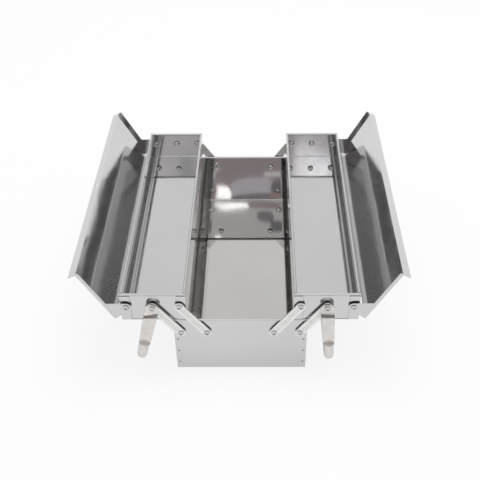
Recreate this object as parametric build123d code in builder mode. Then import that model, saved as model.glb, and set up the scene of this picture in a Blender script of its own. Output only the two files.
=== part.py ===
from build123d import *
import os
from math import asin, atan2, cos, degrees, hypot, radians, sin

# Two-level cantilever toolbox of polished stainless sheet, standing open: a base box, two trays that
# swing out on flat links, two hinged lids and two bail handles. Millimetres, X to the right, Y to the
# back, Z up, with the origin on the ground under the middle of the base.

# Sheet and rolled rims
sheet = 0.8
bead_diameter = 3.2
fold_radius = 1.4

# Base box
base_length = 350
base_width = 160
base_height = 84
corner_flange_width = 12
corner_flange_height = 50

# Feet
foot_height = 3
foot_diameter = 14
foot_chamfer = 0.6
foot_inset = 27
foot_recess_diameter = 8.5
foot_recess_depth = 1.6

# Trays
tray_side_inset = 1.5
tray_height = 41.5
tray_middle_gap = 3
tray_seat_gap = 0.3
outer_tab_width = 12
inner_tab_width = 10.5

# Links: side and rise are from a base pivot to its tray pivot, with the trays out
link_side = 30.8
link_rise = 43
link_width = 11
link_thickness = 1.6
link_standoff = 1.5
outer_link_inset = 8.7
link_spacing = 31
link_pivot_height = 65
rib_width = 3.6
rib_height = 0.35
rib_groove_width = 0.7
rib_end_margin = 8

# Rivets and spacers
rivet_diameter = 4
head_diameter = 7.4
head_height = 1.4
head_edge = 0.5
head_recess_diameter = 3.6
head_recess_depth = 0.9
tail_diameter = 6.8
tail_height = 1
spacer_diameter = 8.6

# Lids: the swing is from open to level
lid_swing = 118.3
lid_hinge_inset = 7
lid_hinge_drop = 1
lid_rim_gap = 0.6
lid_end_gap = 1.9
lid_middle_gap = 3
lid_outer_overhang = 1.6
lid_skirt = 4.5
lid_lip = 1.6
lid_seam_height = 9.6
lug_radius = 6.2
lug_reach = 27
padlock_hole_diameter = 5

# Handles: tilts are outwards from straight down
grip_diameter = 12
grip_reach = 83
handle_bend_radius = 15
strap_thickness = 2.2
strap_top_width = 16
strap_bottom_width = 13.8
strap_end_rise = 4.8
strap_corner_radius = 4.5
strap_length = 54
socket_width = 9.8
socket_thickness = 8
socket_depth = 4
press_length = 5
joggle_start = 7
joggle_length = 4.5
joggle_radius = 3
handle_lid_gap = 0.6
left_tilt = 14
right_tilt = 4
washer_thickness = 0.5
washer_diameter = 9
grip_middle_gap = 1

# Fits
pin_clearance = 0.06
side_play = 0.1

# Places worked out from the sizes above
base_floor = foot_height
base_rim = base_floor + base_height
base_end = base_length / 2
base_side = base_width / 2
plate_face = base_end - sheet
plate_inside = plate_face - sheet
rim_middle = base_end - bead_diameter / 2
rim_back = base_end - bead_diameter

pivot_z = base_floor + link_pivot_height
upper_z = pivot_z + link_rise
outer_link_x = base_side - outer_link_inset
inner_link_x = outer_link_x - link_spacing
inner_upper_x = inner_link_x + link_side
outer_upper_x = outer_link_x + link_side

tray_floor = base_rim + tray_seat_gap
tray_rim = tray_floor + tray_height
tray_inner = tray_middle_gap / 2 + 2 * link_side
tray_width = base_side - tray_side_inset - tray_middle_gap / 2
tray_outer = tray_inner + tray_width

link_face = base_end + link_standoff
link_start = link_face + side_play
link_outside = link_start + link_thickness
link_seat = link_outside + side_play
washer_outside = link_seat + washer_thickness
strap_start = washer_outside + side_play
strap_outside = strap_start + strap_thickness
pin_seat = strap_outside + side_play

hinge_x = tray_outer - lid_hinge_inset
hinge_z = upper_z - lid_hinge_drop
rim_reach = hypot(lid_hinge_inset, tray_rim - hinge_z)
lid_inside = rim_reach + lid_rim_gap
lid_outside = lid_inside + sheet
lid_outer_reach = lid_hinge_inset + lid_outer_overhang
lid_inner_reach = hinge_x - 2 * link_side - lid_middle_gap / 2
lug_start = base_end + lid_end_gap
lug_outside = lug_start + sheet
lug_seat = lug_outside + side_play
tube_y = lug_outside + handle_lid_gap + grip_diameter / 2
joggle_depth = tube_y - strap_thickness / 2 - strap_start

bead_radius = bead_diameter / 2
hole_radius = rivet_diameter / 2 + pin_clearance
foot_x = base_side - foot_inset
foot_y = base_end - foot_inset

os.makedirs("parts", exist_ok=True)


def save(piece, name):
    """Label a finished piece and write it as its own file."""
    piece.part.label = name
    export_step(piece.part, f"parts/{name}.step")


def mirrored(piece, about):
    """The same piece on the other side of a plane."""
    with BuildPart() as twin:
        mirror(piece.part, about=about)
    return twin


def curl(plane, x, y, length):
    """Rolled edge: a curl of sheet along a rim, drawn on a plane that the rim crosses."""
    with BuildSketch(plane) as roll:
        with Locations((x, y)):
            Circle(bead_radius)
            Circle(bead_radius - sheet, mode=Mode.SUBTRACT)
    extrude(roll.sketch, amount=length / 2, both=True)


def trough(left, right, floor, rim):
    """Floor and two sides bent from one sheet, with a rolled rim along each side."""
    with BuildSketch(Plane.XZ) as fold:
        with BuildLine():
            FilletPolyline(
                (left, rim - bead_radius), (left, floor), (right, floor), (right, rim - bead_radius),
                radius=fold_radius,
            )
            offset(amount=sheet, side=Side.LEFT)
        make_face()
    extrude(fold.sketch, amount=plate_face, both=True)
    for direction in (-1, 1):
        with BuildSketch(Plane.XZ.offset(direction * plate_face)) as notch:
            with Locations(((left + right) / 2, rim - bead_radius)):
                Rectangle(right - left, bead_diameter)
        extrude(notch.sketch, amount=direction * (rim_back - plate_face), mode=Mode.SUBTRACT)
    curl(Plane.XZ, left + bead_radius, rim - bead_radius, 2 * rim_back)
    curl(Plane.XZ, right - bead_radius, rim - bead_radius, 2 * rim_back)


def upright(face, left, right, low, high):
    """A flat of sheet that stands across the front end, with its outer face at a distance forward."""
    with BuildSketch(Plane.XZ.offset(face)) as flat:
        with Locations(((left + right) / 2, (low + high) / 2)):
            Rectangle(right - left, high - low)
    extrude(flat.sketch, amount=-sheet)


def pierce(points, start, end, radius):
    """Round holes through the front end, from one distance forward to another."""
    with BuildSketch(Plane.XZ.offset(start)) as holes:
        with Locations(*points):
            Circle(radius)
    extrude(holes.sketch, amount=end - start, mode=Mode.SUBTRACT)


def washers(points, start, end, diameter):
    """Rings on rivets at the front end, copied to the back end."""
    with BuildPart() as rings:
        with BuildSketch(Plane.XZ.offset(start)):
            with Locations(*points):
                Circle(diameter / 2)
                Circle(hole_radius, mode=Mode.SUBTRACT)
        extrude(amount=end - start)
        mirror(about=Plane.XZ)
    return rings


def rivet(plane, axis, inside, seat):
    """Hollow-ended rivet: X of the plane is its radius and Y runs along it, from tail to head."""
    shank = rivet_diameter / 2
    head = head_diameter / 2
    tail = tail_diameter / 2
    recess = head_recess_diameter / 2
    top = seat + head_height
    bottom = inside - tail_height
    with BuildSketch(plane) as profile:
        with BuildLine():
            Polyline(
                (0, bottom), (tail, bottom), (tail, inside), (shank, inside), (shank, seat), (head, seat),
                (head, top - head_edge), (head - head_edge, top), (recess, top),
                (recess, top - head_recess_depth), (0, top - head_recess_depth), close=True,
            )
        make_face()
    revolve(profile.sketch, axis=axis)


def end_rivets(sides):
    """Rivets across both ends: each has its place and where its tail and its head seat."""
    with BuildPart() as rivets:
        for x, z, inside, seat in sides:
            axis = Axis((x, 0, z), (0, 1, 0))
            rivet(Plane((x, 0, z), x_dir=(1, 0, 0), z_dir=(0, 0, -1)), axis, inside, seat)
            rivet(Plane((x, 0, z), x_dir=(1, 0, 0), z_dir=(0, 0, 1)), axis, inside, seat)
    return rivets


# Base box
base_pivots = [(side * x, pivot_z) for side in (-1, 1) for x in (inner_link_x, outer_link_x)]

with BuildPart() as base_shell:
    trough(-base_side, base_side, base_floor, base_rim)
    for side in (-1, 1):
        edges = sorted((side * (base_side - sheet), side * (base_side - corner_flange_width)))
        upright(plate_face, *edges, base_floor + fold_radius, base_floor + corner_flange_height)
        with BuildSketch(Plane.XZ.offset(-plate_face)):
            with Locations((sum(edges) / 2, base_floor + (corner_flange_height + fold_radius) / 2)):
                Rectangle(edges[1] - edges[0], corner_flange_height - fold_radius)
        extrude(amount=sheet)
    with Locations((0, 0, base_floor + sheet)):
        with GridLocations(2 * foot_x, 2 * foot_y, 2, 2):
            Hole(hole_radius)
save(base_shell, "base_shell")

with BuildPart() as base_front_end:
    upright(base_end, -base_side, base_side, base_floor, base_rim - bead_radius)
    curl(Plane.YZ, -rim_middle, base_rim - bead_radius, base_width)
    pierce(base_pivots, plate_face, base_end, hole_radius)
save(base_front_end, "base_front_end")

base_back_end = mirrored(base_front_end, Plane.XZ)
save(base_back_end, "base_back_end")

# Feet
with BuildPart() as base_feet:
    with BuildSketch():
        with GridLocations(2 * foot_x, 2 * foot_y, 2, 2):
            Circle(foot_diameter / 2)
    extrude(amount=foot_height)
    chamfer(base_feet.edges().group_by(Axis.Z)[0], foot_chamfer)
    with BuildSketch():
        with GridLocations(2 * foot_x, 2 * foot_y, 2, 2):
            Circle(foot_recess_diameter / 2)
    extrude(amount=foot_recess_depth, mode=Mode.SUBTRACT)
    with BuildSketch():
        with GridLocations(2 * foot_x, 2 * foot_y, 2, 2):
            Circle(hole_radius)
    extrude(amount=foot_height, mode=Mode.SUBTRACT)
save(base_feet, "base_feet")

with BuildPart() as foot_rivets:
    for place in GridLocations(2 * foot_x, 2 * foot_y, 2, 2):
        centre = place.position
        rivet(Plane(centre, x_dir=(1, 0, 0), z_dir=(0, -1, 0)), Axis(centre, (0, 0, 1)),
              foot_recess_depth, base_floor + sheet)
save(foot_rivets, "foot_rivets")

# Base pivots
base_link_rivets = end_rivets([(x, z, plate_face, link_seat) for x, z in base_pivots])
save(base_link_rivets, "base_link_rivets")

base_link_spacers = washers(base_pivots, base_end, link_face, spacer_diameter)
save(base_link_spacers, "base_link_spacers")


def front_link(lower, upper):
    """Flat pressed link with full-round ends and a low rib along its outer face."""
    middle = ((lower[0] + upper[0]) / 2, (lower[1] + upper[1]) / 2)
    half = Vector(*upper) - Vector(*middle)
    rib_point = Vector(*middle) + half * (1 - rib_end_margin / half.length)
    with BuildPart() as link:
        with BuildSketch(Plane.XZ.offset(link_start)):
            SlotCenterPoint(middle, upper, link_width)
        extrude(amount=link_thickness)
        with BuildSketch(Plane.XZ.offset(link_outside - rib_height)):
            SlotCenterPoint(middle, (rib_point.X, rib_point.Y), rib_width)
            offset(amount=-rib_groove_width, mode=Mode.SUBTRACT)
        extrude(amount=rib_height, mode=Mode.SUBTRACT)
        pierce([lower, upper], link_start, link_outside, hole_radius)
    return link


# One side, drawn on the right: tray, links, lid and what holds them
inner_pin = (inner_upper_x, upper_z)
outer_pin = (outer_upper_x, upper_z)
hinge_pin = (hinge_x, hinge_z)

inner_link = front_link((inner_link_x, pivot_z), inner_pin)
outer_link = front_link((outer_link_x, pivot_z), outer_pin)

with BuildPart() as tray_shell:
    trough(tray_inner, tray_outer, tray_floor, tray_rim)
    tabs = ((tray_inner, tray_inner + inner_tab_width), (tray_outer - outer_tab_width, tray_outer))
    for left, right in tabs:
        upright(base_end, left, right, tray_floor + fold_radius, tray_rim - bead_diameter)
    pierce([inner_pin, hinge_pin], plate_face, base_end, hole_radius)
    for left, right in tabs:
        with BuildSketch(Plane.XZ.offset(-base_end)):
            with Locations(((left + right) / 2, (tray_floor + fold_radius + tray_rim - bead_diameter) / 2)):
                Rectangle(right - left, tray_rim - bead_diameter - tray_floor - fold_radius)
            with Locations(inner_pin, hinge_pin):
                Circle(hole_radius, mode=Mode.SUBTRACT)
        extrude(amount=sheet)

with BuildPart() as tray_front_end:
    upright(plate_face, tray_inner + sheet, tray_outer - sheet, tray_floor + fold_radius,
            tray_rim - bead_radius)
    curl(Plane.YZ.offset((tray_inner + tray_outer) / 2), -rim_middle, tray_rim - bead_radius, tray_width)
    pierce([inner_pin, outer_pin, hinge_pin], plate_inside, plate_face, hole_radius)

tray_rivets = end_rivets([
    (*inner_pin, plate_inside, link_seat),
    (*outer_pin, plate_inside, pin_seat),
    (*hinge_pin, plate_inside, lug_seat),
])

tray_spacers = washers([inner_pin], base_end, link_face, spacer_diameter)
pin_spacers = washers([outer_pin], plate_face, link_face, spacer_diameter)
lid_spacers = washers([hinge_pin], base_end, lug_start - side_play, spacer_diameter)
handle_washers = washers([outer_pin], link_seat, washer_outside, washer_diameter)

# Lid: X of its plane runs from the hinge to the seam, and Y out through the panel
lid_lean = radians(180 - lid_swing)
lid_plane = Plane((hinge_x, 0, hinge_z), x_dir=(cos(lid_lean), 0, sin(lid_lean)), z_dir=(0, 1, 0))

with BuildPart() as lid:
    with BuildSketch(lid_plane):
        with BuildLine():
            FilletPolyline(
                (-lid_outer_reach, lid_outside - lid_lip), (-lid_outer_reach, lid_outside),
                (lid_inner_reach, lid_outside), radius=sheet + side_play,
            )
            offset(amount=sheet, side=Side.RIGHT)
        make_face()
    extrude(amount=lug_outside, both=True)
    with BuildSketch(lid_plane):
        with Locations((lid_inner_reach - sheet / 2, lid_inside + (lid_seam_height + sheet) / 2)):
            Rectangle(sheet, lid_seam_height + sheet)
    extrude(amount=lug_outside, both=True)
    for direction in (-1, 1):
        with BuildSketch(lid_plane.offset(direction * lug_outside)):
            with BuildLine():
                CenterArc((0, 0), lug_radius, 0, 360)
                Line((-lid_outer_reach, lid_outside), (lug_reach - lid_outer_reach, lid_outside))
            make_hull()
            with Locations(((lid_inner_reach - lid_outer_reach) / 2, lid_outside - lid_skirt / 2)):
                Rectangle(lid_inner_reach + lid_outer_reach, lid_skirt)
            Circle(hole_radius, mode=Mode.SUBTRACT)
        extrude(amount=-direction * sheet)
    seam_plane = Plane(
        lid_plane.from_local_coords((lid_inner_reach, lid_outside + lid_seam_height / 2, 0)),
        x_dir=(0, 1, 0), z_dir=lid_plane.x_dir,
    )
    with BuildSketch(seam_plane):
        Circle(padlock_hole_diameter / 2)
    extrude(amount=-sheet, mode=Mode.SUBTRACT)


def bail(tilt):
    """Bail handle on the right: a round tube with joggled and bored straps set in its pressed ends."""
    lean = radians(tilt)
    pin = (outer_upper_x, 0, upper_z)
    front = Plane(pin, x_dir=(cos(lean), 0, sin(lean)), z_dir=(0, -1, 0))
    side = Plane(pin, x_dir=(0, -1, 0), z_dir=(-cos(lean), 0, -sin(lean)))
    corner_x = strap_top_width / 2 - strap_corner_radius
    corner_z = strap_end_rise - strap_corner_radius
    tube_start = strap_length + press_length
    bend_start = grip_reach - handle_bend_radius
    with BuildPart() as handle:
        with BuildSketch(front):
            with BuildLine():
                for side_of_pin in (-1, 1):
                    CenterArc((side_of_pin * corner_x, corner_z), strap_corner_radius, 0, 360)
                Line((-strap_bottom_width / 2, -strap_length), (strap_bottom_width / 2, -strap_length))
            make_hull()
            Circle(hole_radius, mode=Mode.SUBTRACT)
        extrude(amount=tube_y + strap_thickness)
        with BuildSketch(side):
            with BuildLine():
                FilletPolyline(
                    (strap_start, strap_top_width), (strap_start, -joggle_start),
                    (strap_start + joggle_depth, -joggle_start - joggle_length),
                    (strap_start + joggle_depth, -strap_length), radius=joggle_radius,
                )
                offset(amount=strap_thickness, side=Side.LEFT)
            make_face()
        extrude(amount=strap_top_width, both=True, mode=Mode.INTERSECT)
        strap_end = Plane(side.from_local_coords((tube_y, -strap_length, 0)), x_dir=front.x_dir,
                          z_dir=front.y_dir)
        tube_end = Plane(side.from_local_coords((tube_y, -tube_start, 0)), x_dir=front.x_dir,
                         z_dir=front.y_dir)
        with BuildSketch(strap_end):
            Ellipse(strap_bottom_width / 2, grip_diameter / 2)
        with BuildSketch(tube_end):
            Circle(grip_diameter / 2)
        loft()
        with BuildSketch(strap_end) as socket:
            Ellipse(socket_width / 2, socket_thickness / 2)
            Rectangle(strap_bottom_width, strap_thickness, mode=Mode.SUBTRACT)
        extrude(socket.sketch, amount=-socket_depth, mode=Mode.SUBTRACT)
        with BuildLine(side) as path:
            Line((tube_y, -tube_start), (tube_y, -bend_start))
            CenterArc((tube_y - handle_bend_radius, -bend_start), handle_bend_radius, 0, -90)
            Line((tube_y - handle_bend_radius, -grip_reach), (0, -grip_reach))
        with BuildSketch(tube_end):
            Circle(grip_diameter / 2)
        sweep(path=path.line)
        mirror(about=Plane.XZ)
    return handle


right_side = {
    "inner_link_front": inner_link,
    "inner_link_back": mirrored(inner_link, Plane.XZ),
    "outer_link_front": outer_link,
    "outer_link_back": mirrored(outer_link, Plane.XZ),
    "tray_shell": tray_shell,
    "tray_front_end": tray_front_end,
    "tray_back_end": mirrored(tray_front_end, Plane.XZ),
    "tray_rivets": tray_rivets,
    "tray_link_spacers": tray_spacers,
    "handle_pin_spacers": pin_spacers,
    "lid_pin_spacers": lid_spacers,
    "handle_washers": handle_washers,
    "lid": lid,
}
for name, piece in right_side.items():
    save(piece, f"right_{name}")
    save(mirrored(piece, Plane.YZ), f"left_{name}")

save(bail(right_tilt), "right_handle")
save(mirrored(bail(left_tilt), Plane.YZ), "left_handle")

link_swing = 2 * degrees(atan2(link_side, link_rise))
closed_pin = outer_link_x - link_side
meeting = degrees(asin((closed_pin - grip_diameter / 2 - grip_middle_gap / 2) / grip_reach))
for name, tilt in (("left", left_tilt), ("right", right_tilt)):
    print(name, "handle travel", round(180 - tilt + meeting - link_swing, 2))
print("link swing", round(link_swing, 2), "lid swing", lid_swing)
print("base pivots", inner_link_x, outer_link_x, pivot_z, "tray pins", inner_pin, outer_pin, hinge_pin)
print("tray", tray_inner, tray_outer, tray_floor, tray_rim, "lid panel", round(lid_inside, 3))
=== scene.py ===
import math
import bmesh
import bpy
import numpy as np
from mathutils import Matrix, Vector


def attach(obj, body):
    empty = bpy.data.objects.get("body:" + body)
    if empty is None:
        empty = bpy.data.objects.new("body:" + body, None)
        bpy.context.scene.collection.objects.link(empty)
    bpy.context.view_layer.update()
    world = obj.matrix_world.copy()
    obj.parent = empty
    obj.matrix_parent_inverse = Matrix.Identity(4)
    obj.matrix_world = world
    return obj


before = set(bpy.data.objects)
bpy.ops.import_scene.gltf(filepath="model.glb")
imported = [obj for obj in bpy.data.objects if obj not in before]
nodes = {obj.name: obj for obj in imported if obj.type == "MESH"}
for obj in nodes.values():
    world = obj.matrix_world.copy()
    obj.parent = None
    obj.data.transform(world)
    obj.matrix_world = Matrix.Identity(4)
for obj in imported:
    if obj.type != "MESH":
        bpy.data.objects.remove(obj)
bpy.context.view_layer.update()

scene = bpy.context.scene
print("frame loaded:", len(nodes), "nodes")


# Materials are built from short node chains. addNode makes one node: an input given as a socket is
# wired up, and one given as a value is set.
def startMaterial(name):
    material = bpy.data.materials.new(name)
    material.use_nodes = True
    tree = material.node_tree
    tree.nodes.clear()
    return material, tree


def addNode(tree, kind, inputs=None, **settings):
    made = tree.nodes.new(kind)
    for key, value in settings.items():
        setattr(made, key, value)
    for key, value in (inputs or {}).items():
        if isinstance(value, bpy.types.NodeSocket):
            tree.links.new(value, made.inputs[key])
        else:
            made.inputs[key].default_value = value
    return made


def endTree(tree, shader, kind="ShaderNodeOutputMaterial"):
    addNode(tree, kind, {"Surface": shader.outputs[0]})


def stretched(tree, scale):  # Object coordinates, drawn out or squeezed per axis
    place = addNode(tree, "ShaderNodeTexCoord").outputs["Object"]
    return addNode(tree, "ShaderNodeMapping", {"Vector": place, "Scale": scale}).outputs[0]


def drawnOut(tree, axis, share):  # the same, with a pattern drawn out along one axis
    return stretched(tree, tuple(share if each == axis else 1 for each in range(3)))


def noise(tree, vector, pattern):  # pattern is (scale per metre, detail, roughness)
    scale, detail, rough = pattern
    return addNode(tree, "ShaderNodeTexNoise", {
        "Vector": vector, "Scale": scale, "Detail": detail, "Roughness": rough}).outputs["Fac"]


def remap(tree, value, source, target):
    return addNode(tree, "ShaderNodeMapRange", {
        "Value": value, "From Min": source[0], "From Max": source[1],
        "To Min": target[0], "To Max": target[1]}).outputs[0]


def arithmetic(tree, operation, first, second=0.0):
    return addNode(tree, "ShaderNodeMath", {0: first, 1: second}, operation=operation).outputs[0]


def scaled(tree, colour, factor):
    inputs = {0: colour, "Scale": factor}
    return addNode(tree, "ShaderNodeVectorMath", inputs, operation="SCALE").outputs[0]


def tintBetween(tree, factor, first, second):
    inputs = {"Factor": factor, "A": (*first, 1), "B": (*second, 1)}
    return addNode(tree, "ShaderNodeMix", inputs, data_type="RGBA").outputs["Result"]


edges = {"samples": 4, "cosines": (0.995, 0.8)}  # cosines at which an edge begins and is full


# Where a rounded normal leaves the true one, there is an edge: 0 on flats, 1 on edges.
def edgeMask(tree, radius):
    rounded = addNode(tree, "ShaderNodeBevel", {"Radius": radius}, samples=edges["samples"]).outputs[0]
    flat = addNode(tree, "ShaderNodeNewGeometry").outputs["Normal"]
    cosine = addNode(tree, "ShaderNodeVectorMath", {0: rounded, 1: flat}, operation="DOT_PRODUCT")
    return remap(tree, cosine.outputs["Value"], edges["cosines"], (0, 1)), rounded


seamShadeRays = {"samples": 6, "unshadedAbove": 0.95}  # a point more open than this gets no painted shade


# How open a point is to its near surroundings: 1 in the open, 0 deep in a seam. It dims the colour
# there: painted shade in seams, grooves and under rims, where shade falls.
def paintSeamShade(tree, colour, look):
    inputs = {"Distance": look["seamReach"]}
    around = addNode(tree, "ShaderNodeAmbientOcclusion", inputs, samples=seamShadeRays["samples"])
    tone = remap(tree, around.outputs["AO"], (look["seamShut"], seamShadeRays["unshadedAbove"]), (look["seamShadeTone"], 1))
    return scaled(tree, colour, tone)


# Lengths are in metres. A noise is (scale per metre, detail, roughness), and its spread says which
# of its values stand for none and all.
sheetFinish = {
    "steel": (0.647, 0.644, 0.648), "steelDull": (0.611, 0.608, 0.613),
    "tone": (7.0, 2.0, 0.5), "toneSpread": (0.3, 0.7),      # where the steel is clear or dull
    "swell": (11.0, 1.0, 0.35), "swellHeight": 0.000176,    # broad swells in the thin sheet
    "swellStretch": (1, 1, 1),
    "grain": (2600.0, 3.0, 0.6), "grainSpread": (0.3, 0.7),
    "grainDrawn": 0.02, "grainHeight": 0.0000003, "grainGloss": (-0.015, 0.02),
    "smear": (34.0, 4.0, 0.62), "smearSpread": (0.35, 0.75),
    "roughness": (0.045, 0.11),                             # without a smear and under one
    "edgeRadius": 0.00035, "edgeGloss": 0.12,               # roughness added on an edge
    # painted shade in seams: how far it looks, how shut a point is where it is full, and its tone
    "seamReach": 0.0013, "seamShut": 0.35, "seamShadeTone": 0.58,
    "undersideShading": 1.0, "downwards": (-0.35, -0.05),          # painted shade (below 1) and painted light (above 1) on faces that look down
    "inner": 1.0, "innerBlur": 0.0, "inwards": (-0.05, -0.07),  # painted light on sides that face the middle, and blur there
}
wellFinish = {
    **sheetFinish, "steel": (0.650, 0.645, 0.642), "steelDull": (0.615, 0.609, 0.606),
    "roughness": (0.018, 0.05),
}
wellShellFinish = {
    **wellFinish, "steel": (0.600, 0.594, 0.588), "steelDull": (0.565, 0.559, 0.553),
    # painted light: the well's side walls that face the middle are lighter
    "inner": 1.55, "innerBlur": 0.22,
}
wellEndFinish = {
    **wellFinish, "steel": (0.648, 0.639, 0.643), "steelDull": (0.612, 0.603, 0.607),
    # painted shade on faces that look down, under the rolled rim
    "undersideShading": 0.42, "swellHeight": 0.000198,
}
# painted light on the tray sheet's faces that look down
trayShellFinish = {**sheetFinish, "undersideShading": 1.45}
trayEndFinish = {
    # painted shade on faces that look down, under the rolled rim
    **sheetFinish, "undersideShading": 0.42, "swellHeight": 0.000396, "swellStretch": (1.3, 1, 0.3),
}
lidFinish = {**sheetFinish, "roughness": (0.08, 0.15), "swellHeight": 0.000748}
# Painted shade: the inside bends along the trays' sides are darker, rougher steel than the sheet.
shadedBendFinish = {
    **sheetFinish, "steel": (0.42, 0.417, 0.42), "steelDull": (0.36, 0.357, 0.36),
    "roughness": (0.25, 0.35),
}


# Mirror-polished sheet: broad swells that bend the reflections, a fine polishing grain along one
# axis, faint smears in the gloss, and edges rubbed duller. Painted shade and light scale its colour
# on faces that look down and on sides that face the middle, where the normal's X and the place's X
# have other signs, and painted shade dims it in seams.
def polishedSheet(name, grainAlong, look):
    material, tree = startMaterial(name)
    place = stretched(tree, (1, 1, 1))
    edge, rounded = edgeMask(tree, look["edgeRadius"])
    grain = noise(tree, drawnOut(tree, grainAlong, look["grainDrawn"]), look["grain"])
    smear = noise(tree, place, look["smear"])
    swell = noise(tree, stretched(tree, look["swellStretch"]), look["swell"])
    tone = remap(tree, noise(tree, place, look["tone"]), look["toneSpread"], (0, 1))
    normal = addNode(tree, "ShaderNodeNewGeometry").outputs["Normal"]
    facing = addNode(tree, "ShaderNodeSeparateXYZ", {"Vector": normal}).outputs
    across = addNode(tree, "ShaderNodeSeparateXYZ", {"Vector": place}).outputs["X"]
    inward = arithmetic(tree, "MULTIPLY", facing["X"], across)
    shade = arithmetic(tree, "MULTIPLY",
                       remap(tree, facing["Z"], look["downwards"], (look["undersideShading"], 1)),
                       remap(tree, inward, look["inwards"], (1, look["inner"])))
    colour = tintBetween(tree, tone, look["steel"], look["steelDull"])
    colour = paintSeamShade(tree, scaled(tree, colour, shade), look)
    gloss = arithmetic(tree, "ADD", remap(tree, smear, look["smearSpread"], look["roughness"]),
                       arithmetic(tree, "MULTIPLY", edge, look["edgeGloss"]))
    gloss = arithmetic(tree, "ADD", gloss,
                       remap(tree, grain, look["grainSpread"], look["grainGloss"]))
    gloss = arithmetic(tree, "ADD", gloss,
                       remap(tree, inward, look["inwards"], (0, look["innerBlur"])))
    bent = addNode(tree, "ShaderNodeBump", {
        "Height": swell, "Strength": 1.0, "Distance": look["swellHeight"], "Normal": rounded})
    fine = addNode(tree, "ShaderNodeBump", {
        "Height": grain, "Strength": 1.0, "Distance": look["grainHeight"],
        "Normal": bent.outputs[0]})
    endTree(tree, addNode(tree, "ShaderNodeBsdfPrincipled", {
        "Base Color": colour, "Metallic": 1.0, "Roughness": gloss, "Normal": fine.outputs[0]}))
    return material


brushedFinish = {
    "grain": (1500.0, 4.0, 0.65), "grainSpread": (0.3, 0.7), "grainDrawn": 0.03,
    "patch": (90.0, 3.0, 0.6), "patchSpread": (0.35, 0.7),  # where the steel is bright or worn
    "edgeGloss": -0.06,                                     # edges are rubbed smoother
    # painted shade in seams: how far it looks, how shut a point is where it is full, and its tone
    "seamReach": 0.0012, "seamShut": 0.35, "seamShadeTone": 0.35,
}
rivetFinish = {
    **brushedFinish, "scratchDepth": 0.000004, "edgeRadius": 0.0003,
    "steel": (0.66, 0.66, 0.66), "worn": (0.52, 0.52, 0.52), "roughness": (0.10, 0.20),
}
linkFinish = {
    **brushedFinish, "scratchDepth": 0.000005, "edgeRadius": 0.00035,
    "steel": (0.86, 0.86, 0.85), "worn": (0.78, 0.78, 0.77), "roughness": (0.34, 0.44),
    "seamReach": 0.0006, "seamShadeTone": 0.6,
}
tubeFinish = {
    **brushedFinish, "scratchDepth": 0.0000018, "edgeRadius": 0.0005,
    "steel": (0.73, 0.70, 0.675), "worn": (0.63, 0.60, 0.58), "roughness": (0.14, 0.24),
    "seamReach": 0.0005,
    "fold": (0.0998, 0.1038), "foldShadeTone": 0.3,  # heights between which the joggle lies, and the tone of the painted shade there
    "foldFade": (0.7, 1.1),                     # shares of its half height between which it fades
}
footHeadFinish = {
    **brushedFinish, "scratchDepth": 0.000003, "edgeRadius": 0.0003,
    "steel": (0.50, 0.50, 0.50), "worn": (0.36, 0.36, 0.36), "roughness": (0.08, 0.16),
    # a deep painted shade ring round the foot rivets' heads
    "seamReach": 0.0035, "seamShut": 0.45, "seamShadeTone": 0.12,
}
spacerFinish = {
    **brushedFinish, "scratchDepth": 0.000006, "edgeRadius": 0.0002,
    "steel": (0.085, 0.090, 0.088), "worn": (0.04, 0.042, 0.041), "roughness": (0.30, 0.45),
}
weldFinish = {
    **brushedFinish, "scratchDepth": 0.000006, "edgeRadius": 0.0002,
    "steel": (0.34, 0.31, 0.29), "worn": (0.20, 0.18, 0.17), "roughness": (0.35, 0.5),
}


# Painted shade at the joggle: a dark band between two heights, full in its middle and faded towards
# its ends.
def paintFoldShade(tree, colour, place, look):
    low, high = look["fold"]
    height = addNode(tree, "ShaderNodeSeparateXYZ", {"Vector": place}).outputs["Z"]
    offset = arithmetic(tree, "SUBTRACT", height, (low + high) / 2)
    fade = [share * (high - low) / 2 for share in look["foldFade"]]
    tone = remap(tree, arithmetic(tree, "ABSOLUTE", offset), fade, (look["foldShadeTone"], 1))
    return scaled(tree, colour, tone)


# Pressed strip, rivets and tube: brushed steel with scratches along one axis and rubbed edges, with
# painted shade in seams and, on the tube, a painted shade band at the joggle.
def brushedSteel(name, grainAlong, look):
    material, tree = startMaterial(name)
    place = stretched(tree, (1, 1, 1))
    edge, rounded = edgeMask(tree, look["edgeRadius"])
    grain = noise(tree, drawnOut(tree, grainAlong, look["grainDrawn"]), look["grain"])
    patch = remap(tree, noise(tree, place, look["patch"]), look["patchSpread"], (0, 1))
    colour = paintSeamShade(tree, tintBetween(tree, patch, look["steel"], look["worn"]), look)
    if "fold" in look:
        colour = paintFoldShade(tree, colour, place, look)
    gloss = arithmetic(tree, "ADD", remap(tree, grain, look["grainSpread"], look["roughness"]),
                       arithmetic(tree, "MULTIPLY", edge, look["edgeGloss"]))
    fine = addNode(tree, "ShaderNodeBump", {
        "Height": grain, "Strength": 1.0, "Distance": look["scratchDepth"], "Normal": rounded})
    endTree(tree, addNode(tree, "ShaderNodeBsdfPrincipled", {
        "Base Color": colour, "Metallic": 1.0, "Roughness": gloss, "Normal": fine.outputs[0]}))
    return material


rubberFinish = {
    "black": (0.022, 0.022, 0.023), "dusty": (0.09, 0.088, 0.085),
    "pebble": (1400.0, 3.0, 0.5), "pebbleSpread": (0.3, 0.7), "roughness": (0.6, 0.8),
    "pebbleDepth": 0.00008, "pebbleStrength": 0.6,
    "dust": (120.0, 4.0, 0.6), "dustSpread": (0.5, 0.8),
}


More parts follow.
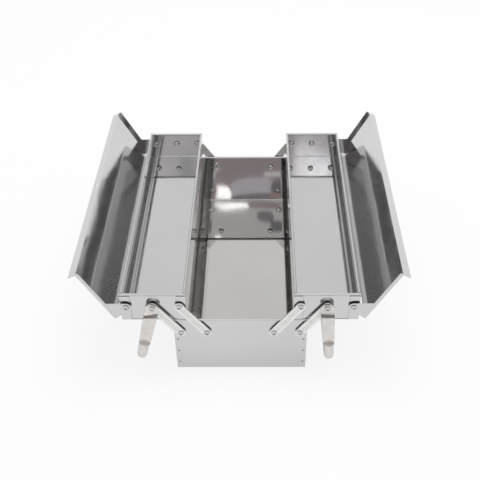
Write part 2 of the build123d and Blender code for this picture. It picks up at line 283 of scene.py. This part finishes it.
# Moulded rubber: matt black with a fine pebble and dust caught on it.
def footRubber(name, look):
    material, tree = startMaterial(name)
    place = stretched(tree, (1, 1, 1))
    pebble = noise(tree, place, look["pebble"])
    dust = remap(tree, noise(tree, place, look["dust"]), look["dustSpread"], (0, 1))
    bump = addNode(tree, "ShaderNodeBump", {
        "Height": pebble, "Strength": look["pebbleStrength"], "Distance": look["pebbleDepth"]})
    endTree(tree, addNode(tree, "ShaderNodeBsdfPrincipled", {
        "Base Color": tintBetween(tree, dust, look["black"], look["dusty"]),
        "Roughness": remap(tree, pebble, look["pebbleSpread"], look["roughness"]),
        "Normal": bump.outputs[0]}))
    return material


def dress(name, material):  # puts one material on a CAD node
    mesh = nodes[name].data
    mesh.materials.clear()
    mesh.materials.append(material)


alongX, alongY, alongZ = 0, 1, 2
finishes = {
    "shell": polishedSheet("baseSheet", alongY, wellShellFinish),
    "end": polishedSheet("endSheet", alongX, wellEndFinish),
    "trayShell": polishedSheet("traySheet", alongY, trayShellFinish),
    "trayEnd": polishedSheet("trayEndSheet", alongX, trayEndFinish),
    "lid": polishedSheet("lidSheet", alongY, lidFinish),
    "shadedBend": polishedSheet("shadedBendSheet", alongY, shadedBendFinish),
    "link": brushedSteel("linkStrip", alongZ, linkFinish),
    "rivet": brushedSteel("rivetSteel", alongX, rivetFinish),
    "footHead": brushedSteel("footHeadSteel", alongX, footHeadFinish),
    "handle": brushedSteel("handleTube", alongY, tubeFinish),
    "spacer": brushedSteel("spacerBlack", alongX, spacerFinish),
    "weld": brushedSteel("weldMark", alongX, weldFinish),
    "rubber": footRubber("footRubber", rubberFinish),
}
baseLooks = {
    "base_shell": "shell", "base_front_end": "end", "base_back_end": "end", "base_feet": "rubber",
    "foot_rivets": "rivet", "base_link_rivets": "rivet", "base_link_spacers": "spacer",
}
sideLooks = {
    "tray_shell": "trayShell", "tray_front_end": "trayEnd", "tray_back_end": "trayEnd",
    "tray_rivets": "rivet", "tray_link_spacers": "spacer", "handle_pin_spacers": "spacer",
    "lid_pin_spacers": "spacer", "handle_washers": "spacer", "lid": "lid", "handle": "handle",
    "inner_link_front": "link", "inner_link_back": "link",
    "outer_link_front": "link", "outer_link_back": "link",
}
for name, look in baseLooks.items():
    dress(name, finishes[look])
for side in ("left", "right"):
    for name, look in sideLooks.items():
        dress(f"{side}_{name}", finishes[look])
print("materials on", len(baseLooks) + 2 * len(sideLooks), "nodes")


# Camera solved from the photograph: place in metres, pitch below level, turn and roll in degrees.
shot = {
    "place": (0.02412, -0.81936, 0.7458),
    "pitch": 39.70, "yaw": -0.47, "roll": -0.42,
    "focalPixels": 771.9, "centre": (255.5, 239.7), "frame": 480, "sensor": 36.0,
}


def placeCamera(look):
    pitch, yaw, roll = (math.radians(look[key]) for key in ("pitch", "yaw", "roll"))
    ahead = Vector((math.sin(yaw) * math.cos(pitch), math.cos(yaw) * math.cos(pitch),
                    -math.sin(pitch)))
    level = Vector((math.cos(yaw), -math.sin(yaw), 0))
    upright = level.cross(ahead)
    right = level * math.cos(roll) + upright * math.sin(roll)
    up = -level * math.sin(roll) + upright * math.cos(roll)
    data = bpy.data.cameras.new("photoCamera")
    data.sensor_fit = "HORIZONTAL"
    data.sensor_width = look["sensor"]
    data.lens = look["focalPixels"] / look["frame"] * look["sensor"]
    data.shift_x = (look["frame"] / 2 - look["centre"][0]) / look["frame"]
    data.shift_y = (look["centre"][1] - look["frame"] / 2) / look["frame"]
    camera = bpy.data.objects.new("photoCamera", data)
    turn = Matrix((right, up, -ahead)).transposed()
    camera.matrix_world = Matrix.Translation(look["place"]) @ turn.to_4x4()
    scene.collection.objects.link(camera)
    scene.camera = camera


placeCamera(shot)
print("camera placed")


# A surface from a grid of points: rows by columns, joined into four-sided faces.
def gridSurface(name, points):
    rows, columns = points.shape[:2]
    index = np.arange(rows * columns).reshape(rows, columns)
    faces = np.stack([index[:-1, :-1], index[:-1, 1:], index[1:, 1:], index[1:, :-1]], -1)
    mesh = bpy.data.meshes.new(name)
    mesh.from_pydata(points.reshape(-1, 3).tolist(), [], faces.reshape(-1, 4).tolist())
    surface = bpy.data.objects.new(name, mesh)
    scene.collection.objects.link(surface)
    return surface


joining = {"mergeWithin": 1e-6, "sharpFrom": 40}  # metres, and degrees between two faces


# One mesh from parts, each a pair (points, faces). Doubles are joined and the normals turned outwards.
def joinedPiece(name, parts, material, body):
    mesh = bpy.data.meshes.new(name)
    firsts = np.cumsum([0] + [len(points) for points, group in parts])
    faces = [(np.array(face) + first).tolist()
             for first, (points, group) in zip(firsts, parts) for face in group]
    mesh.from_pydata(np.concatenate([points for points, group in parts]).tolist(), [], faces)
    form = bmesh.new()
    form.from_mesh(mesh)
    bmesh.ops.remove_doubles(form, verts=form.verts, dist=joining["mergeWithin"])
    bmesh.ops.recalc_face_normals(form, faces=form.faces)
    form.to_mesh(mesh)
    form.free()
    mesh.polygons.foreach_set("use_smooth", [True] * len(mesh.polygons))
    mesh.set_sharp_from_angle(angle=math.radians(joining["sharpFrom"]))
    mesh.materials.append(material)
    piece = bpy.data.objects.new(name, mesh)
    scene.collection.objects.link(piece)
    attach(piece, body)


# A bar: an outline of points (across, up) carried straight from one place along the axis to another.
def bar(outline, start, end, across, up, along):
    across, up, along = (np.array(direction, float) for direction in (across, up, along))
    ring = outline[:, :1] * across + outline[:, 1:] * up
    points = np.concatenate([ring + start * along, ring + end * along])
    here = np.arange(len(ring))
    there = np.roll(here, -1)
    sides = np.stack([here, there, there + len(ring), here + len(ring)], -1).tolist()
    return points, sides + [here.tolist(), (here + len(ring)).tolist()]


# A turned form: a profile of points (radius, height) that starts and ends on the axis, spun round it.
# A point is centre + axis * height + (side * cos(turn) + other * sin(turn)) * radius.
def turned(profile, centre, axis, steps):
    axis = np.array(axis, float)
    side = np.array((axis[1], axis[2], axis[0]))
    other = np.cross(axis, side)
    turn = np.linspace(0, 2 * np.pi, steps, endpoint=False)[None, :, None]
    spoke = np.cos(turn) * side + np.sin(turn) * other
    radius, height = (profile[:, column][:, None, None] for column in (0, 1))
    points = np.array(centre) + height * axis + radius * spoke
    rows = len(profile)
    index = np.arange(rows * steps).reshape(rows, steps)
    nextTurn = np.roll(index, -1, axis=1)
    faces = np.stack([index[:-1], nextTurn[:-1], nextTurn[1:], index[1:]], -1)
    return points.reshape(-1, 3), faces.reshape(-1, 4).tolist()


bends = {
    "outerRadius": 0.0055, "innerRadius": 0.0015,       # along a tray's outer and inner side
    "seamRadius": 0.0011,                               # across the ends, at their feet
    "sunk": 0.0001, "steps": 10,                        # the wedge's corner is sunk in the sheet
    "trayFloor": 0.0881, "traySides": (0.0639, 0.1393), "trayEnd": 0.1734,
    "baseFloor": 0.0038, "baseHalfWidth": 0.068, "baseEnd": 0.1742,
}


# Inside bend of a folded sheet: the wedge between a corner and a quarter circle that touches both
# faces. The arc is corner + radius * (1 - cos(turn), 1 - sin(turn)).
def bendOutline(corner, inward, radius, look):
    turn = np.linspace(0, np.pi / 2, look["steps"])
    arc = np.stack([corner[0] + inward * radius * (1 - np.cos(turn)),
                    corner[1] + radius * (1 - np.sin(turn))], -1)
    sunk = np.array([[corner[0] - inward * look["sunk"], corner[1] - look["sunk"]]])
    return np.concatenate([sunk, arc])


def makeBends(look):
    forward, backward = (0, -1, 0), (0, 1, 0)
    upward, rightward = (0, 0, 1), (1, 0, 0)
    floor, reach = look["trayFloor"], look["trayEnd"]
    for side, sign in (("left", -1), ("right", 1)):
        inner, outer = (sign * x for x in look["traySides"])
        body = f"{side}_tray"
        outlines = (bendOutline((inner, floor), sign, look["innerRadius"], look),
                    bendOutline((outer, floor), -sign, look["outerRadius"], look))
        parts = [bar(outline, -reach, reach, rightward, upward, backward) for outline in outlines]
        joinedPiece(f"{side}_tray_bends", parts, finishes["shadedBend"], body)
        outline = bendOutline((reach, floor), -1, look["seamRadius"], look)
        parts = [bar(outline, inner, outer, across, upward, rightward)
                 for across in (forward, backward)]
        joinedPiece(f"{side}_tray_end_seams", parts, finishes["trayShell"], body)
    half = look["baseHalfWidth"]
    outline = bendOutline((look["baseEnd"], look["baseFloor"]), -1, look["seamRadius"], look)
    parts = [bar(outline, -half, half, across, upward, rightward) for across in (forward, backward)]
    joinedPiece("base_end_seams", parts, finishes["shell"], "base")


makeBends(bends)

tails = {
    "ring": 0.0030, "section": 0.00125, "lift": 0.0003,  # the rolled ring's and its section's radius
    "curl": (0.92, -0.1), "curlPoints": 13,              # where the section starts and ends, half turns
    "dimple": 0.0002, "sunk": 0.0002, "steps": 28,
    "basePivots": ((0.0403, 0.068), (0.0713, 0.068)), "baseSeat": 0.1732,
    "trayPins": ((0.0711, 0.111), (0.1021, 0.111), (0.1331, 0.110)), "traySeat": 0.1724,
}
domes = {
    "feet": (0.0537, 0.1487), "seat": 0.0038,
    "radius": 0.0052, "height": 0.0027, "points": 12, "steps": 28,
}
welds = {
    "across": 0.0762, "heights": (0.014, 0.034, 0.054), "face": 0.175,
    "radius": 0.0013, "height": 0.00018, "points": 7, "steps": 16,
}


# Rolled tail of a hollow rivet: half a ring, from a dimple at its middle over the ring to its seat.
# A point of the ring is (ring + section * cos(turn), lift + section * sin(turn)).
def tailProfile(look):
    turn = np.pi * np.linspace(*look["curl"], look["curlPoints"])
    radius = look["ring"] + look["section"] * np.cos(turn)
    height = look["lift"] + look["section"] * np.sin(turn)
    dimple = [[0, height[0] - look["dimple"]]]
    foot = [[radius[-1], -look["sunk"]], [0, -look["sunk"]]]
    return np.concatenate([dimple, np.stack([radius, height], -1), foot])


# Low head: a quarter of an ellipse, (radius * cos(turn), height * sin(turn)), from the pole to the
# seat, and back to the axis.
def headProfile(look):
    turn = np.linspace(np.pi / 2, 0, look["points"])
    curve = np.stack([look["radius"] * np.cos(turn), look["height"] * np.sin(turn)], -1)
    return np.concatenate([curve, [[0, 0]]])


def makeTails(name, places, seat, body, look):  # a tail inside both ends of the box at each place
    ring = tailProfile(look)
    ends = ((-1, (0, 1, 0)), (1, (0, -1, 0)))
    parts = [turned(ring, (x, end * seat, z), inward, look["steps"])
             for x, z in places for end, inward in ends]
    joinedPiece(name, parts, finishes["rivet"], body)


def makeDomes(look):  # snap heads over the foot rivets
    head = headProfile(look)
    x, y = look["feet"]
    parts = [turned(head, (across * x, along * y, look["seat"]), (0, 0, 1), look["steps"])
             for across in (-1, 1) for along in (-1, 1)]
    joinedPiece("foot_rivet_domes", parts, finishes["footHead"], "base")


def makeWelds(look):  # spot welds down the corners of the base's ends: shallow lenses
    head = headProfile(look)
    parts = [turned(head, (sign * look["across"], end * look["face"], z), (0, end, 0), look["steps"])
             for sign in (-1, 1) for z in look["heights"] for end in (-1, 1)]
    joinedPiece("base_spot_welds", parts, finishes["weld"], "base")


basePlaces = [(sign * x, z) for sign in (-1, 1) for x, z in tails["basePivots"]]
makeTails("base_rivet_tails", basePlaces, tails["baseSeat"], "base", tails)
makeDomes(domes)
for side, sign in (("left", -1), ("right", 1)):
    trayPlaces = [(sign * x, z) for x, z in tails["trayPins"]]
    makeTails(f"{side}_tray_rivet_tails", trayPlaces, tails["traySeat"], f"{side}_tray", tails)
makeWelds(welds)
print("bends, rivet tails and welds made")

paper = {
    "half": 6.0, "points": 3, "colour": (0.90, 0.90, 0.90),
    "shadowLift": 0.88, "glossLift": 0.7,  # shares of glow that the camera and the gloss see
}


# White paper on the ground. To the camera it glows a little, which lifts the shadow but keeps it,
# and less so in the gloss.
def makeFloor(look):
    across = np.linspace(-look["half"], look["half"], look["points"])
    x, y = np.meshgrid(across, across)
    floor = gridSurface("floor", np.stack([x, y, np.zeros_like(x)], -1))
    material, tree = startMaterial("floorPaint")
    matt = addNode(tree, "ShaderNodeBsdfDiffuse", {"Color": (*look["colour"], 1)})
    glow = addNode(tree, "ShaderNodeEmission", {"Color": (1, 1, 1, 1), "Strength": 1.0})
    ray = addNode(tree, "ShaderNodeLightPath").outputs
    seen = arithmetic(tree, "MULTIPLY", ray["Is Camera Ray"], look["shadowLift"])
    mirrored = arithmetic(tree, "MULTIPLY", ray["Is Glossy Ray"], look["glossLift"])
    share = arithmetic(tree, "MAXIMUM", seen, mirrored)
    endTree(tree, addNode(tree, "ShaderNodeMixShader", {
        0: share, 1: matt.outputs[0], 2: glow.outputs[0]}))
    floor.data.materials.append(material)


makeFloor(paper)

# Grey studio cards that only the gloss sees. Each is part of a drum round the object: from one
# compass angle to another, measured from straight behind the object, and between two heights.
cardSteps = 40
cards = {
    "frontCard": {"angles": (140, 220), "heights": (0.9, 3.4), "radius": 2.9,
                  "grey": (0.80, 0.785, 0.785)},
    "backCard": {"angles": (-55, 55), "heights": (1.1, 5.2), "radius": 3.2,
                 "grey": (0.87, 0.87, 0.86)},
    "roomBand": {"angles": (125, 235), "heights": (0.0, 0.34), "radius": 3.0,
                 "grey": (0.26, 0.25, 0.25)},
}
# What hangs in front of the front card: flat panels, each from its middle (x, z), its half width and
# half height, and its glow. The first is at y = depth, and each that follows is a gap nearer. The
# corner is the power of makePanel's waves, and lowest is the share of the height where it ends.
panelShape = {"depth": -2.2, "gap": 0.01, "rings": 3, "points": 49, "corner": 0.5, "lowest": -1.0}
panels = {
    "dimStand": {"middle": (-0.04, 1.55), "half": (0.24, 0.17), "glow": (0.51, 0.44, 0.46)},
    "paleHood": {"middle": (-0.015, 1.70), "half": (0.12, 0.08), "glow": (0.80, 0.77, 0.82),
                 "corner": 1.0},
    "leftGlint": {"middle": (-0.180, 1.716), "half": (0.041, 0.033), "glow": (3.0, 3.0, 2.95)},
    "topGlint": {"middle": (-0.211, 1.540), "half": (0.018, 0.020), "glow": (3.0, 3.0, 2.95)},
    "darkRail": {"middle": (0.02, 1.725), "half": (0.16, 0.022), "glow": (0.26, 0.26, 0.27)},
    "longGlint": {"middle": (-0.120, 1.772), "half": (0.103, 0.034), "glow": (3.0, 3.0, 3.0),
                  "corner": 1.0, "lowest": -0.15},
    "redStrip": {"middle": (0.05, 1.767), "half": (0.09, 0.020), "glow": (0.49, 0.39, 0.39)},
    "darkKnob": {"middle": (0.053, 1.832), "half": (0.040, 0.030), "glow": (0.29, 0.29, 0.29)},
    "darkArm": {"middle": (0.115, 1.890), "half": (0.042, 0.050), "glow": (0.24, 0.24, 0.24)},
    "lowGlint": {"middle": (-0.205, 1.975), "half": (0.017, 0.018), "glow": (3.0, 3.0, 3.0)},
    "rightPale": {"middle": (0.10, 1.545), "half": (0.06, 0.022), "glow": (1.03, 1.01, 1.01)},
    "leftRed": {"middle": (-0.226, 1.640), "half": (0.020, 0.045), "glow": (0.51, 0.36, 0.33),
                "corner": 1.0},
    "rightRed": {"middle": (0.120, 1.655), "half": (0.050, 0.030), "glow": (0.49, 0.38, 0.36),
                 "corner": 1.0},
    "rightDark": {"middle": (0.125, 1.600), "half": (0.045, 0.030), "glow": (0.27, 0.27, 0.27)},
    "rightGrey": {"middle": (0.25, 1.70), "half": (0.05, 0.20), "glow": (1.7, 1.68, 1.66)},
    "rightLamp": {"middle": (0.325, 1.70), "half": (0.050, 0.16), "glow": (2.2, 2.2, 2.2)},
    "lampFlap": {"middle": (0.335, 1.575), "half": (0.020, 0.030), "glow": (1.1, 1.08, 1.2)},
    "leftPale": {"middle": (-0.475, 1.70), "half": (0.020, 0.15), "glow": (1.0, 0.97, 0.93)},
    "leftDim": {"middle": (-0.340, 1.66), "half": (0.035, 0.12), "glow": (0.50, 0.50, 0.51)},
}


def glowPaint(name, glow):
    material, tree = startMaterial(name)
    strength = max(glow)
    endTree(tree, addNode(tree, "ShaderNodeEmission", {
        "Color": (*(part / strength for part in glow), 1), "Strength": strength}))
    return material


def setUp(surface, glow):  # the gloss sees it, the camera and the other light don't
    surface.data.materials.append(glowPaint(surface.name + "Paint", glow))
    surface.visible_camera = surface.visible_shadow = surface.visible_diffuse = False


# A card: angle along its rows, height along its columns, and a point is (radius * sin(angle),
# radius * cos(angle), height).
def makeCard(name, look):
    angle = np.radians(np.linspace(*look["angles"], cardSteps))[:, None]
    height = np.array(look["heights"])[None, :]
    x, y = look["radius"] * np.sin(angle), look["radius"] * np.cos(angle)
    setUp(gridSurface(name, np.stack(np.broadcast_arrays(x, y, height), -1)), look["grey"])


# A rounded panel: rings from the middle out, each an oval whose waves, cos(turn) across and sin(turn)
# up, are raised to a power: 1 leaves the oval and 1/2 squares it off. A panel may be cut flat at its
# lowest share of the height.
def makePanel(name, look, depth):
    look = {**panelShape, **look}
    turn = np.linspace(0, 2 * np.pi, look["points"])[None, :]
    share = np.linspace(0, 1, look["rings"])[:, None]
    across, up = (np.sign(wave) * np.abs(wave) ** look["corner"]
                  for wave in (np.cos(turn), np.sin(turn)))
    x = look["middle"][0] + look["half"][0] * across * share
    z = look["middle"][1] + look["half"][1] * np.maximum(up, look["lowest"]) * share
    setUp(gridSurface(name, np.stack([x, np.full_like(x, depth), z], -1)), look["glow"])


for name, look in cards.items():
    makeCard(name, look)
for order, (name, look) in enumerate(panels.items()):
    makePanel(name, look, panelShape["depth"] + panelShape["gap"] * order)

topBox = {"place": (0.2, 0.3, 2.4), "aim": (0, 0, 0.1), "size": (1.8, 1.4), "power": 30}


def makeLamp(name, look):
    data = bpy.data.lights.new(name, "AREA")
    data.shape = "RECTANGLE"
    data.size, data.size_y = look["size"]
    data.energy = look["power"]
    lamp = bpy.data.objects.new(name, data)
    lamp.location = look["place"]
    aim = Vector(look["aim"]) - Vector(look["place"])
    lamp.rotation_euler = aim.to_track_quat("-Z", "Y").to_euler()
    lamp.visible_glossy = False
    scene.collection.objects.link(lamp)


makeLamp("topBox", topBox)

room = {"light": 0.62, "seen": 1.0}  # the white world's strength as a light, and looked at


def makeWorld(look):  # it is looked at by the camera, in the gloss and through glass
    world = bpy.data.worlds.new("studioWhite")
    scene.world = world
    world.use_nodes = True
    tree = world.node_tree
    tree.nodes.clear()
    ray = addNode(tree, "ShaderNodeLightPath").outputs
    seen = arithmetic(tree, "MAXIMUM", ray["Is Camera Ray"], ray["Is Glossy Ray"])
    seen = arithmetic(tree, "MAXIMUM", seen, ray["Is Transmission Ray"])
    strength = remap(tree, seen, (0, 1), (look["light"], look["seen"]))
    glow = addNode(tree, "ShaderNodeBackground", {"Color": (1, 1, 1, 1), "Strength": strength})
    endTree(tree, glow, "ShaderNodeOutputWorld")


makeWorld(room)
scene.cycles.max_bounces = 16  # facing mirrors pass the light many times between them
scene.cycles.glossy_bounces = 14
scene.cycles.caustics_reflective = False  # no sparks where the mirrors throw light on the paper
scene.cycles.denoising_input_passes = "RGB"  # mirror chains leave the other passes full of specks
scene.view_settings.view_transform = "Standard"
print("studio ready")
